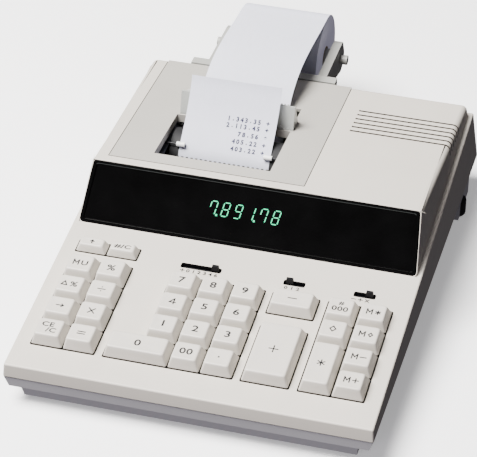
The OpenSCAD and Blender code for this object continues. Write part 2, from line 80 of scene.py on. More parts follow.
# ---- sizes, in mm, measured from the deck's front edge ----
CASE_W, TILT, DECK_Z, SEAM_Z, DECK_DEPTH, WALL, DRAFT = 214.3, 6.0, 27.7, 18.7, 288.4, 2.5, 0.07
FACE_Y, FACE_TOP_Y, FACE_TOP_Z, BACK_Y, BACK_Z = 127.3, 149.5, 73.6, 284.3, 66.0
RAISED_W, RAISED_DRAFT, REAR_FOOT_Y = 208.3, 0.1, 301.0
PANEL_GAP, SEAM_GAP = 0.5, 0.5
PITCH, KEY_H, KEY_GAP = 19.05, 8.2, 0.65
LEFT_X, NUMBER_X, WIDE_X, RIGHT_X, ROW_Y = -97.8, -54.8, 26.05, 59.15, 19.5
WIDE_W, PLUS_LEN, MINUS_Y, MINUS_LEN = 28.05, 46.8, 77.0, 18.4
SMALL_Y, SMALL_LEN, SMALL_H = 102.2, 10.4, 5.6
SLOT_Y, SLOT_W = 105.6, 3.0
SLOTS = [(-32.4, 23.4), (30.2, 11.7), (72.4, 11.7)]
MARK_Y, MARK_SIZE = 101.2, 2.6                             # signs under the slots
KNOB_FOOT, KNOB_RISE = 1.2, 0.9                            # knobs stand this much taller than in the CAD
VENT_X, VENT_Y, VENT_PITCH, VENT_W, VENTS = 39.6, 229, 5.25, 1.4, 6
INLET_X, INLET_Y, INLET_Z = (69.8, 90.2), 280, (23.8, 40.2)
PAPER_X, PAPER_W = -31.0, 57.5
PLATEN, PLATEN_R = (204.0, 52.0), 14.3
ROLL, ROLL_R, BORE_R, CORE_R = (342.0, 50.0), 28.5, 6.2, 7.6
PINCH, AXLE_R = (192.8, 64), 0.75
COVER_X, COVER_Y, COVER_GAP = (-93.2, 28.3), 155.9, 0.4
HINGE, EAR_W = (280.5, 61.5), 1.8
LEDGE_X, LEDGE_W = (-80, -4), 14
SEAM_SHADE = 0.36                                          # dark band above the seam
CREASE, TAPE_END, LEAVE = (208.0, 75.6), (222.0, 97.0), 133.0
FEED_BEND = [(305.0, 80.0), (258.0, 92.0), (238.5, 67.0)]

COS, SIN = math.cos(math.radians(TILT)), math.sin(math.radians(TILT))


def deck_at(y):
    return DECK_Z + y * math.tan(math.radians(TILT))


FACE_ANGLE = math.atan2(FACE_TOP_Z - deck_at(FACE_Y), FACE_TOP_Y - FACE_Y)
FACE_LEN = math.hypot(FACE_TOP_Z - deck_at(FACE_Y), FACE_TOP_Y - FACE_Y)


# ---- places: each takes mm in its own axes and gives metres in the frame ----
def in_case(x, y, z):
    return (x * MM, (y - SHIFT) * MM, z * MM)


def on_deck(x, y, z):
    return in_case(x, y * COS - z * SIN, DECK_Z + y * SIN + z * COS)


def on_face(x, y, z):
    c, s = math.cos(FACE_ANGLE), math.sin(FACE_ANGLE)
    return in_case(x, FACE_Y + y * c - z * s, deck_at(FACE_Y) + y * s + z * c)


# ---- materials ----
def material(name, color, rough, metallic=0.0, **sockets):
    """A new material's node tree and its shader, with the constant values set on the shader."""
    mat = bpy.data.materials.new(name)
    mat.use_nodes = True
    shader = mat.node_tree.nodes["Principled BSDF"]
    shader.inputs["Base Color"].default_value = (*color, 1)
    shader.inputs["Roughness"].default_value = rough
    shader.inputs["Metallic"].default_value = metallic
    for key, value in sockets.items():
        shader.inputs[key.replace("_", " ")].default_value = value
    return mat, mat.node_tree, shader


def noise(tree, scale, detail=3.0, stretch=(1, 1, 1), roughness=0.5):
    nodes, links = tree.nodes, tree.links
    coords = nodes.new("ShaderNodeTexCoord")
    mapping = nodes.new("ShaderNodeMapping")
    mapping.inputs["Scale"].default_value = stretch
    tex = nodes.new("ShaderNodeTexNoise")
    tex.inputs["Scale"].default_value = scale
    tex.inputs["Detail"].default_value = detail
    tex.inputs["Roughness"].default_value = roughness
    links.new(coords.outputs["Object"], mapping.inputs["Vector"])
    links.new(mapping.outputs["Vector"], tex.inputs["Vector"])
    return tex.outputs["Fac"]


def ramp(tree, source, low, high, start=0.3, end=0.7):
    node = tree.nodes.new("ShaderNodeValToRGB")
    node.color_ramp.elements[0].position, node.color_ramp.elements[1].position = start, end
    node.color_ramp.elements[0].color = (*low, 1)
    node.color_ramp.elements[1].color = (*high, 1)
    tree.links.new(source, node.inputs["Fac"])
    return node.outputs["Color"]


def remap(tree, source, low, high):
    node = tree.nodes.new("ShaderNodeMapRange")
    node.inputs["From Min"].default_value, node.inputs["From Max"].default_value = 0.3, 0.7
    node.inputs["To Min"].default_value, node.inputs["To Max"].default_value = low, high
    tree.links.new(source, node.inputs["Value"])
    return node.outputs["Result"]


def bump(tree, shader, source, strength, distance):
    node = tree.nodes.new("ShaderNodeBump")
    node.inputs["Strength"].default_value = strength
    node.inputs["Distance"].default_value = distance
    tree.links.new(source, node.inputs["Height"])
    tree.links.new(node.outputs["Normal"], shader.inputs["Normal"])


def mixed(color, amount):
    return tuple(min(1.0, c * (1 + amount)) for c in color)


def plastic(name, color, rough=0.5, grain=1100.0, strength=0.12, **sockets):
    """Moulded plastic: fine spark-eroded grain, faint large clouds of colour, uneven gloss."""
    mat, tree, shader = material(name, color, rough, **sockets)
    clouds = noise(tree, 14.0, 4.0)
    tree.links.new(ramp(tree, clouds, mixed(color, -0.03), mixed(color, 0.02)), shader.inputs["Base Color"])
    tree.links.new(remap(tree, noise(tree, 60.0), rough - 0.05, rough + 0.06), shader.inputs["Roughness"])
    bump(tree, shader, noise(tree, grain, 2.0), strength, 0.0002)
    return mat


def metal(name, color, rough, stretch=(1, 14, 14), strength=0.06):
    """Rolled or turned metal: fine lines along one axis."""
    mat, tree, shader = material(name, color, rough, 1.0)
    lines = noise(tree, 220.0, 4.0, stretch)
    tree.links.new(ramp(tree, lines, mixed(color, -0.12), mixed(color, 0.08)), shader.inputs["Base Color"])
    tree.links.new(remap(tree, lines, rough - 0.08, rough + 0.1), shader.inputs["Roughness"])
    bump(tree, shader, lines, strength, 0.0001)
    return mat


def rubber(name, color, rough=0.75, grain=700.0):
    mat, tree, shader = material(name, color, rough, Specular_IOR_Level=0.35)
    dust = noise(tree, 45.0, 5.0)
    tree.links.new(ramp(tree, dust, color, mixed(color, 0.5), 0.4, 0.8), shader.inputs["Base Color"])
    tree.links.new(remap(tree, dust, rough - 0.06, rough + 0.1), shader.inputs["Roughness"])
    bump(tree, shader, noise(tree, grain, 3.0), 0.2, 0.0002)
    return mat


def paper_material(name, color):
    mat, tree, shader = material(name, color, 0.82, Specular_IOR_Level=0.25, Subsurface_Weight=0.35,
                                 Subsurface_Radius=(1.0, 1.0, 1.0), Subsurface_Scale=0.0008)
    fibres = noise(tree, 380.0, 6.0, (1, 0.5, 0.5), 0.7)
    tint = ramp(tree, fibres, mixed(color, -0.035), mixed(color, 0.02))
    tree.links.new(tint, shader.inputs["Base Color"])
    bump(tree, shader, noise(tree, 900.0, 4.0), 0.08, 0.0001)
    return mat


def lamp(name, color, strength):
    mat, tree, shader = material(name, mixed(color, -0.6), 0.4)
    shader.inputs["Emission Strength"].default_value = strength
    glow = noise(tree, 900.0, 2.0)
    tree.links.new(ramp(tree, glow, mixed(color, -0.25), color), shader.inputs["Emission Color"])
    return mat


def wound_paper(name, color):
    """The end faces of the roll: fine rings of paper edges, with a faint glow for light through them."""
    mat, tree, shader = material(name, color, 0.85, Specular_IOR_Level=0.2)
    nodes, links = tree.nodes, tree.links
    coords = nodes.new("ShaderNodeTexCoord")
    mapping = nodes.new("ShaderNodeMapping")
    mapping.inputs["Location"].default_value = (0, -(ROLL[0] - SHIFT) * MM, -ROLL[1] * MM)
    rings = nodes.new("ShaderNodeTexWave")
    rings.wave_type, rings.rings_direction = "RINGS", "X"
    rings.inputs["Scale"].default_value = 420.0
    rings.inputs["Distortion"].default_value = 0.6
    links.new(coords.outputs["Object"], mapping.inputs["Vector"])
    links.new(mapping.outputs["Vector"], rings.inputs["Vector"])
    tint = ramp(tree, rings.outputs["Fac"], mixed(color, -0.14), color, 0.1, 0.7)
    links.new(tint, shader.inputs["Base Color"])
    bump(tree, shader, rings.outputs["Fac"], 0.15, 0.0001)
    # painted light: a faint glow for light shining through the paper edges
    shader.inputs["Emission Color"].default_value = (0.62, 0.6, 0.78, 1)
    shader.inputs["Emission Strength"].default_value = 0.2
    return mat


# the cover's grey is partly its own tone and partly painted shade, made darker for its top facing away from
# the light
BEIGE, COVER_GREY_SHADED, LOWER = (0.50, 0.465, 0.415), (0.345, 0.328, 0.298), (0.55, 0.54, 0.55)
MAT = {
    "case_beige": plastic("case_beige", BEIGE, 0.5),
    "lower_grey": plastic("lower_grey", LOWER, 0.52),
    "cover_grey": plastic("cover_grey", COVER_GREY_SHADED, 0.48),
    "key_beige": plastic("key_beige", (0.515, 0.485, 0.44), 0.42, 1500.0, 0.06),
    "display_black": plastic("display_black", (0.001, 0.001, 0.001), 0.22, 600.0, 0.01,
                             Specular_IOR_Level=0.03),
    "display_glass": plastic("display_glass", (0.03, 0.05, 0.04), 0.15),
    "rubber_black": rubber("rubber_black", (0.012, 0.012, 0.013)),
    "screw_steel": metal("screw_steel", (0.55, 0.55, 0.57), 0.35),
    "steel_plate": metal("steel_plate", (0.4, 0.4, 0.42), 0.4),
    "silicone": rubber("silicone", (0.36, 0.37, 0.39), 0.55),
    "board_green": plastic("board_green", (0.04, 0.13, 0.04), 0.35, 300.0, 0.2),
    "transformer_metal": metal("transformer_metal", (0.25, 0.25, 0.27), 0.5, (30, 1, 1)),
    "black_plastic": plastic("black_plastic", (0.01, 0.01, 0.012), 0.5, Specular_IOR_Level=0.3),
    "knob_black": plastic("knob_black", (0.005, 0.005, 0.006), 0.55, Specular_IOR_Level=0.12),
    "frame_dark": plastic("frame_dark", (0.05, 0.055, 0.065), 0.42, 500.0, 0.1),
    "motor_steel": metal("motor_steel", (0.5, 0.5, 0.52), 0.3),
    "gear_plastic": plastic("gear_plastic", (0.52, 0.5, 0.42), 0.4),
    "platen_rubber": rubber("platen_rubber", (0.008, 0.008, 0.009), 0.7),
    "drum_dark": plastic("drum_dark", (0.04, 0.042, 0.05), 0.4),
    "ink_felt": rubber("ink_felt", (0.02, 0.012, 0.05), 0.95, 400.0),
    "white_plastic": plastic("white_plastic", (0.72, 0.72, 0.71), 0.3, 900.0, 0.04),
    "paper": paper_material("paper", (0.59, 0.60, 0.70)),
    "holder_grey": plastic("holder_grey", (0.30, 0.30, 0.28), 0.45),
    "tear_clear": plastic("tear_clear", (0.46, 0.475, 0.45), 0.25, 400.0, 0.03,
                          Transmission_Weight=0.35, IOR=1.45),
}
INK = plastic("legend_ink", (0.012, 0.012, 0.013), 0.7, Specular_IOR_Level=0.2)
PRINT_INK = plastic("print_ink", (0.02, 0.02, 0.05), 0.8, Specular_IOR_Level=0.2)
GREEN = lamp("segment_green", (0.05, 0.9, 0.42), 0.75)
CARDBOARD = paper_material("cardboard", (0.32, 0.24, 0.16))
ROLL_SIDE = wound_paper("roll_side", (0.62, 0.61, 0.70))
# painted highlight: the slope inside the panel's upper rim, a little paler than the panel
LIP_HIGHLIGHT = plastic("display_lip_highlight", (0.018, 0.021, 0.02), 0.35, 900.0, 0.03, Specular_IOR_Level=0.2)
# narrow gaps and edges that are dark with shadow in the photo; the real plastic is one colour there
SHADE = plastic("painted_shade_brown", (0.03, 0.024, 0.02), 0.7, Specular_IOR_Level=0.1)


# ---- mesh tools ----
BOX_FACES = [(3, 2, 1, 0), (4, 5, 6, 7), (0, 1, 5, 4), (1, 2, 6, 5), (2, 3, 7, 6), (3, 0, 4, 7)]


class Mesh:
    """Points, faces and material numbers of one piece."""

    def __init__(self, place=in_case):
        self.points, self.faces, self.mats, self.place = [], [], [], place

    def add(self, points, faces, mat=0, place=None):
        start, place = len(self.points), place or self.place
        self.points += [place(*p) for p in points]
        self.faces += [[start + i for i in f] for f in faces]
        self.mats += [mat] * len(faces)

    def box(self, low, high, mat=0, place=None):
        (a, b, c), (d, e, f) = low, high
        points = [(a, b, c), (d, b, c), (d, e, c), (a, e, c), (a, b, f), (d, b, f), (d, e, f), (a, e, f)]
        self.add(points, BOX_FACES, mat, place)

    def loft(self, rings, mat=0, place=None, closed=False):
        """Quads between rings of equally many points.

        closed joins the last ring to the first; otherwise both are capped.
        """
        n, count = len(rings[0]), len(rings)
        faces = [
            (i * n + k, i * n + (k + 1) % n, (i + 1) % count * n + (k + 1) % n, (i + 1) % count * n + k)
            for i in range(count if closed else count - 1)
            for k in range(n)
        ]
        if not closed:
            faces += [tuple(range(n - 1, -1, -1)), tuple(range((count - 1) * n, count * n))]
        self.add([p for r in rings for p in r], faces, mat, place)

    def extrude(self, outline, z0, z1, mat=0, place=None):
        self.loft([[(x, y, z0) for x, y in outline], [(x, y, z1) for x, y in outline]], mat, place)

    def build(self, name):
        me = bpy.data.meshes.new(name)
        me.from_pydata(self.points, [], self.faces)
        me.polygons.foreach_set("material_index", self.mats)
        me.validate()
        me.update()
        obj = bpy.data.objects.new(name, me)
        bpy.context.scene.collection.objects.link(obj)
        return obj


def outward(obj):
    bm = bmesh.new()
    bm.from_mesh(obj.data)
    bmesh.ops.recalc_face_normals(bm, faces=bm.faces)
    bm.to_mesh(obj.data)
    bm.free()


def smooth(obj, angle=34.0, weighted=True):
    obj.data.polygons.foreach_set("use_smooth", [True] * len(obj.data.polygons))
    obj.data.set_sharp_from_angle(angle=math.radians(angle))
    if weighted:
        obj.modifiers.new("even_normals", "WEIGHTED_NORMAL").keep_sharp = True


def bake(obj):
    """Applies the modifiers."""
    graph = bpy.context.evaluated_depsgraph_get()
    me = bpy.data.meshes.new_from_object(obj.evaluated_get(graph))
    obj.modifiers.clear()
    obj.data = me


def edge_weights(obj, weight_of):
    """Sets each edge's bevel weight from its middle and direction, in mm from the deck's front edge."""
    me = obj.data
    name = "bevel_weight_edge"
    layer = me.attributes.get(name) or me.attributes.new(name, "FLOAT", "EDGE")
    back = Vector((0, SHIFT, 0))
    for e in me.edges:
        a, b = (me.vertices[i].co / MM + back for i in e.vertices)
        layer.data[e.index].value = weight_of((a + b) / 2, (b - a).normalized())


def bevel(obj, width, segments, weights=False, angle=40.0, clamp=True):
    mod = obj.modifiers.new("edge_round", "BEVEL")
    mod.width, mod.segments = width * MM, segments
    mod.limit_method = "WEIGHT" if weights else "ANGLE"
    mod.angle_limit = math.radians(angle)
    mod.use_clamp_overlap = clamp
    mod.miter_outer = "MITER_ARC"


def cut(obj, others, operation="DIFFERENCE"):
    for other in others:
        mod = obj.modifiers.new(other.name, "BOOLEAN")
        mod.operation, mod.solver, mod.object = operation, "EXACT", other
    bake(obj)
    for other in others:
        bpy.data.objects.remove(other)


def dress(obj, body, mats, replaced=()):
    """Materials, body and the CAD nodes that a finished piece stands for."""
    numbers = [p.material_index for p in obj.data.polygons]
    obj.data.materials.clear()
    for m in mats:
        obj.data.materials.append(m)
    obj.data.polygons.foreach_set("material_index", [min(i, len(mats) - 1) for i in numbers])
    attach(obj, body)
    if replaced:
        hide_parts(*replaced)
    return obj


def refined(node, name, width, segments=2, weight_of=None, angle=34.0):
    """A copy of a CAD node with whole faces and rounded edges, which stands for it."""
    me = NODES[node].data.copy()
    me.name = name
    obj = bpy.data.objects.new(name, me)
    bpy.context.scene.collection.objects.link(obj)
    bm = bmesh.new()
    bm.from_mesh(me)
    bmesh.ops.remove_doubles(bm, verts=bm.verts, dist=2e-6)
    bmesh.ops.dissolve_limit(bm, angle_limit=math.radians(0.6), verts=bm.verts, edges=bm.edges)
    bm.to_mesh(me)
    bm.free()
    for normals in [a.name for a in me.attributes if a.name.startswith("custom_normal")]:
        me.attributes.remove(me.attributes[normals])
    me.polygons.foreach_set("material_index", [0] * len(me.polygons))
    if weight_of:
        edge_weights(obj, weight_of)
    bevel(obj, width, segments, bool(weight_of))
    bake(obj)
    smooth(obj, angle)
    return dress(obj, BODY_OF[node], [MAT[SLOT_OF[node]]], [node])


def round_rect(cx, cy, hw, hl, r, n=5):
    """Outline of a rectangle with round corners, anticlockwise."""
    r = min(r, hw, hl)
    points = []
    for k, (sx, sy) in enumerate([(1, 1), (-1, 1), (-1, -1), (1, -1)]):
        for i in range(n + 1):
            a = math.radians(90 * k + 90 * i / n)
            points.append((cx + sx * (hw - r) + r * math.cos(a), cy + sy * (hl - r) + r * math.sin(a)))
    return points


def rounded(outline, r, n=4):
    """An outline with its corners rounded."""
    result, count = [], len(outline)
    for i, p in enumerate(outline):
        p, a, b = Vector(p), Vector(outline[i - 1]), Vector(outline[(i + 1) % count])
        u, v = (a - p).normalized(), (b - p).normalized()
        half = u.angle(v) / 2
        reach = r / math.tan(half)
        start, end = p + u * reach, p + v * reach
        centre = p + (u + v).normalized() * (r / math.sin(half))
        s, e = start - centre, end - centre
        for k in range(n + 1):
            result.append(tuple(centre + s.slerp(e, k / n)))
    return result


def text_shape(words, size, stretch=1.0, bold=0.014):
    """Flat letters as (points, faces), centred, size mm high, each a thin closed solid."""
    curve = bpy.data.curves.new("letters", "FONT")
    curve.body, curve.size, curve.extrude = words, 1.0, 0.02
    curve.align_x, curve.align_y = "CENTER", "CENTER"
    curve.resolution_u, curve.offset = 3, bold
    curve.space_character = 1.05
    obj = bpy.data.objects.new("letters", curve)
    bpy.context.scene.collection.objects.link(obj)
    graph = bpy.context.evaluated_depsgraph_get()
    me = bpy.data.meshes.new_from_object(obj.evaluated_get(graph))
    points = [(v.co.x * size * 1.35 * stretch, v.co.y * size * 1.35, v.co.z) for v in me.vertices]
    faces = [tuple(p.vertices) for p in me.polygons]
    bpy.data.objects.remove(obj)
    bpy.data.meshes.remove(me)
    bpy.data.curves.remove(curve)
    low = [min(p[i] for p in points) for i in (0, 1)]
    high = [max(p[i] for p in points) for i in (0, 1)]
    middle = [(a + b) / 2 for a, b in zip(low, high)]
    return [(x - middle[0], y - middle[1], z) for x, y, z in points], faces


def stroke_shape(lines, width):
    """Straight strokes of even width as (points, faces), each a thin closed solid."""
    points, faces = [], []
    for a, b in lines:
        a, b = Vector(a), Vector(b)
        d = (b - a).normalized() * width / 2
        n = Vector((-d.y, d.x))
        corners = [a - d + n, a - d - n, b + d - n, b + d + n]
        start = len(points)
        for z in (-0.02, 0.02):
            points += [(c.x, c.y, z) for c in corners]
        faces += [tuple(start + i for i in f) for f in BOX_FACES]
    return points, faces


# ---- camera, light and floor ----
CAMERA_AT, LENS = (0.2897, -1.1774, 0.8666), 180.16
CAMERA_RIGHT, CAMERA_FORWARD = (0.96526, 0.26108, 0.01082), (-0.20782, 0.79213, -0.57389)
FLOOR_HALF, FLOOR_Z = 12.0, -0.0002


def camera():
    data = bpy.data.cameras.new("camera")
    data.lens, data.sensor_width = LENS, 36.0
    data.clip_start, data.clip_end = 0.05, 20.0
    obj = bpy.data.objects.new("camera", data)
    bpy.context.scene.collection.objects.link(obj)
    right, forward = Vector(CAMERA_RIGHT).normalized(), Vector(CAMERA_FORWARD).normalized()
    up = right.cross(forward).normalized()
    turn = Matrix((right, up, -forward)).transposed()
    obj.matrix_world = Matrix.Translation(CAMERA_AT) @ turn.to_4x4()
    bpy.context.scene.camera = obj


def area_light(name, place, target, size, power, color=(1, 1, 1)):
    data = bpy.data.lights.new(name, "AREA")
    data.shape, data.size, data.size_y = "RECTANGLE", size[0], size[1]
    data.energy, data.color = power, color
    obj = bpy.data.objects.new(name, data)
    bpy.context.scene.collection.objects.link(obj)
    obj.location = place
    obj.rotation_euler = (Vector(target) - Vector(place)).to_track_quat("-Z", "Y").to_euler()


def studio():
    world = bpy.data.worlds.new("studio")
    bpy.context.scene.world = world
    world.use_nodes = True
    world.node_tree.nodes["Background"].inputs["Color"].default_value = (0.93, 0.9, 1.0, 1)
    world.node_tree.nodes["Background"].inputs["Strength"].default_value = 0.11
    area_light("key", (-0.75, -0.45, 1.85), (0, 0, 0.05), (1.1, 1.1), 215.0, (1.0, 0.985, 0.96))
    area_light("front", (-0.5, -2.3, 0.75), (0, 0, 0.03), (1.6, 0.9), 27.0, (0.95, 0.90, 1.0))
    floor = Mesh(lambda x, y, z: (x, y, z))
    corners = rect(-FLOOR_HALF, -FLOOR_HALF, FLOOR_HALF, FLOOR_HALF)
    floor.add([(x, y, FLOOR_Z) for x, y in corners], [(0, 1, 2, 3)])
    obj = floor.build("floor")
    # the floor neither lights the object nor shows in its gloss, and gives off a little light of its own
    obj.visible_diffuse = obj.visible_glossy = False
    mat, tree, shader = material("floor", (0.93, 0.93, 0.94), 0.9)
    clouds = ramp(tree, noise(tree, 3.0), (0.92, 0.92, 0.93), (0.94, 0.94, 0.95))
    tree.links.new(clouds, shader.inputs["Base Color"])
    shader.inputs["Emission Color"].default_value = (1, 1, 1, 1)
    shader.inputs["Emission Strength"].default_value = 0.35
    obj.data.materials.append(mat)


# ---- case ----
def side_prism(name, profile, half_w, taper):
    """Solid between a side profile at -X and at +X, narrower the higher a point is above the deck."""
    mesh = Mesh()
    half = [half_w - taper * (z - deck_at(y)) for y, z in profile]
    mesh.loft([[(side * h, y, z) for h, (y, z) in zip(half, profile)] for side in (-1, 1)])
    obj = mesh.build(name)
    outward(obj)
    return obj


def lower_profile(t, drop):
    """Side view of the wedge, t inside its surface; a thin gap is left above the seam."""
    z = SEAM_Z + SEAM_GAP - drop
    return [(t - (DECK_Z - SEAM_Z) * DRAFT, z), (t, deck_at(t) - t),
            (DECK_DEPTH - t, deck_at(DECK_DEPTH - t) - t), (REAR_FOOT_Y - t, z)]


def raised_profile(t, sink):
    rear = DECK_DEPTH - 1.2 - t
    return [(FACE_Y + 1.3 * t, deck_at(FACE_Y) - sink), (FACE_Y + 1.3 * t, deck_at(FACE_Y) + 0.2 * t),
            (FACE_TOP_Y + 0.75 * t, FACE_TOP_Z - t), (BACK_Y - t, BACK_Z - t),
            (rear, deck_at(DECK_DEPTH)), (rear, deck_at(DECK_DEPTH) - sink)]


def panel_outline(inset):
    """Round-cornered outline of the display panel, a little wider at the bottom."""
    r = 2.6 - inset / 2
    m = PANEL_GAP + inset + r
    low = RAISED_W / 2 - m
    high = low - RAISED_DRAFT * (FACE_TOP_Z - deck_at(FACE_TOP_Y))
    points = []
    for k, (x, y) in enumerate([(high, FACE_LEN - m), (-high, FACE_LEN - m), (-low, m), (low, m)]):
        for i in range(9):
            a = math.radians(90 * k + 90 * i / 8)
            points.append((x + r * math.cos(a), y + r * math.sin(a)))
    return points


def rect(x0, y0, x1, y1):
    return [(x0, y0), (x1, y0), (x1, y1), (x0, y1)]


def make_top_case():
    mats = [MAT["case_beige"], SHADE, MAT["knob_black"]]
    shade, black = 1, 2
    shell = side_prism("case_top", lower_profile(0, 0), CASE_W / 2, DRAFT)
    for m in mats:
        shell.data.materials.append(m)
    edge_weights(shell, lambda m, _: 1.0 if m.z > SEAM_Z + 1 else 0.0)
    bevel(shell, 1.0, 4, True)
    bake(shell)
    raised = side_prism("raised", raised_profile(0, 6), RAISED_W / 2, RAISED_DRAFT)

    def raised_weight(m, _):
        if m.z < deck_at(m.y) - 0.5 and m.y < BACK_Y - 1:
            return 0.0
        if m.y > FACE_TOP_Y + 2 and (abs(m.x) > 60 or m.y > BACK_Y - 1) and m.z > deck_at(m.y) - 3:
            return 1.0
        return 0.13 if m.z > deck_at(FACE_Y) + 3 else 0.0

    edge_weights(raised, raised_weight)
    bevel(raised, 3.2, 6, True)
    bake(raised)
    cut(shell, [raised], "UNION")
    hollows = [side_prism("hollow_low", lower_profile(WALL, 1), CASE_W / 2 - WALL, DRAFT),
               side_prism("hollow_high", raised_profile(WALL, 12), RAISED_W / 2 - WALL, RAISED_DRAFT)]
    mesh = Mesh(on_deck)
    p = PITCH
    # the walls of the key openings get painted shade
    for outline in [
        rect(LEFT_X, ROW_Y, LEFT_X + 2 * p, ROW_Y + 4 * p),
        [(NUMBER_X, ROW_Y), (NUMBER_X + 4 * p, ROW_Y), (NUMBER_X + 4 * p, ROW_Y + 4 * p),
         (NUMBER_X + p, ROW_Y + 4 * p), (NUMBER_X + p, ROW_Y + p), (NUMBER_X, ROW_Y + p)],
        rect(RIGHT_X, ROW_Y, RIGHT_X + 2 * p, ROW_Y + 4 * p),
        rect(WIDE_X, ROW_Y, WIDE_X + WIDE_W, ROW_Y + PLUS_LEN),
        rect(WIDE_X, MINUS_Y, WIDE_X + WIDE_W, MINUS_Y + MINUS_LEN),
        rect(LEFT_X, SMALL_Y, LEFT_X + 2 * p, SMALL_Y + SMALL_LEN),
    ]:
        mesh.extrude(rounded(outline, 0.7), -3 * WALL, 2 * WALL, shade)
    # the slots' walls are black, painted shade inside the slots
    for x, length in SLOTS:
        outline = rect(x, SLOT_Y - SLOT_W / 2, x + length, SLOT_Y + SLOT_W / 2)
        mesh.extrude(rounded(outline, 0.4), -3 * WALL, 2 * WALL, black)
    rings = [(3, -2 * WALL), (3, -1.8), (0, -1.8), (0, WALL)]
    mesh.loft([[(x, y, z) for x, y in panel_outline(inset)] for inset, z in rings], black, on_face)
    # the vent slots' walls get painted shade
    for i in range(VENTS):
        y = VENT_Y + i * VENT_PITCH
        mesh.box((VENT_X, y, BACK_Z - 4), (RAISED_W / 2 + 1, y + VENT_W, FACE_TOP_Z), shade, in_case)
    g = COVER_GAP
    mesh.box((COVER_X[0] - g, COVER_Y - g, HINGE[1] - 6),
             (COVER_X[1] + g, REAR_FOOT_Y + 2, FACE_TOP_Z + WALL), place=in_case)
    mesh.box((INLET_X[0], INLET_Y, INLET_Z[0]), (INLET_X[1], REAR_FOOT_Y + 2, INLET_Z[1]), place=in_case)
    openings = mesh.build("openings")
    outward(openings)
    for m in mats:
        openings.data.materials.append(m)
    cut(shell, hollows + [openings])
    bevel(shell, 0.35, 2, angle=38.0, clamp=False)
    bake(shell)
    # painted shade: the band of the shell just above the seam gap
    for p in shell.data.polygons:
        if p.center.z < (SEAM_Z + SEAM_GAP + SEAM_SHADE) * MM:
            p.material_index = shade
    # ears beside the cover's hinge and ledges under its front edge
    extra = Mesh()
    for x in (COVER_X[0] - g - EAR_W, COVER_X[1] + g):
        extra.box((x, HINGE[0] - 5, HINGE[1] - 12), (x + EAR_W, HINGE[0] + 2, HINGE[1] + 2.5))
    for x in LEDGE_X:
        extra.box((x, COVER_Y - 2.5, FACE_TOP_Z - 5), (x + LEDGE_W, COVER_Y - g, FACE_TOP_Z - 2.6))
        extra.box((x, COVER_Y - 2.5, FACE_TOP_Z - 5), (x + LEDGE_W, COVER_Y + 3, FACE_TOP_Z - 3.2))
    ribs = extra.build("case_top_ribs")
    bevel(ribs, 0.25, 2)
    bake(ribs)
    smooth(ribs)
    dress(ribs, "case", [MAT["case_beige"]])
    smooth(shell, 40.0)
    dress(shell, "case", mats, ["top_case"])


def make_seam():
    """A black strip that shows in the gap between the two halves of the case, as painted shade in the gap.
    """
    z0, z1 = SEAM_Z, SEAM_Z + SEAM_GAP - 0.05

    def ring(inset, z):
        front, rear = inset - (DECK_Z - z) * DRAFT, REAR_FOOT_Y - inset - 0.5
        a, b = (CASE_W / 2 - inset + DRAFT * (deck_at(y) - z) for y in (front, rear))
        return [(-a, front, z), (a, front, z), (b, rear, z), (-b, rear, z)]

    mesh = Mesh()
    mesh.loft([ring(1.1, z0), ring(1.1, z1), ring(1.9, z1), ring(1.9, z0)], closed=True)
    obj = mesh.build("seam_shade_strip")
    outward(obj)
    dress(obj, "case", [MAT["black_plastic"]])


camera()
studio()
make_top_case()
make_seam()

# ---- CAD nodes that keep their shape, with rounded edges ----
refined("bottom_case", "case_bottom", 0.7)
refined("rubber_feet", "feet", 0.8)
refined("case_screws", "screws", 0.2)
refined("power_inlet", "inlet", 0.3)
refined("printer_frame", "printer_frame_shape", 0.25)
refined("paper_comb", "comb", 0.12, 1)
refined("roll_holder", "holder", 0.9, 3)
refined("tear_bar", "tear_bar_shape", 0.2, 2)
rollers = refined("pinch_rollers", "pinch_rollers_shape", 0.4, 3)
refined("platen", "platen_shape", 0.3, 2)
refined("print_drum", "drum_shape", 0.3, 2)
refined("ink_roller", "ink_roller_shape", 0.5, 2)
refined("motor_gear", "motor_gear_shape", 0.1, 1)
refined("print_motor", "motor_shape", 0.5, 2)
for knob in ("knob_decimal", "knob_print", "knob_round"):
    cap = refined(knob, knob + "_cap", 0.35, 3)
    up = Vector((0, -SIN, COS))
    for v in cap.data.vertices:
        if (v.co / MM + Vector((0, SHIFT, -DECK_Z))).dot(up) > KNOB_FOOT:
            v.co += up * KNOB_RISE * MM


def cover_weight(m, d):
    if m.y > BACK_Y - 0.3 and abs(d.x) > 0.9 and m.z > BACK_Z - 0.5:
        return 1.0
    return 0.2


cover = refined("printer_cover", "cover_shape", 2.0, 4, cover_weight)


def paint(obj, mat, where):
    """Gives a second material to the faces that where(middle, normal) picks, middle in mm as in in_case."""
    obj.data.materials.append(mat)
    for p in obj.data.polygons:
        if where(p.center / MM + Vector((0, SHIFT, 0)), p.normal):
            p.material_index = 1


# painted shade on the cover's side faces and front edge, where they stand in the gap round it
paint(cover, SHADE, lambda m, n: abs(n.z) < 0.5 and (
    m.x < COVER_X[0] + 0.3 or m.x > COVER_X[1] - 0.3 or m.y < COVER_Y + 0.3))
paint(rollers, MAT["black_plastic"], lambda m, n: math.hypot(m.y - PINCH[0], m.z - PINCH[1]) < AXLE_R)

for name, obj in NODES.items():
    slot = SLOT_OF[name]
    obj.data.materials.clear()
    obj.data.materials.append(MAT[slot])


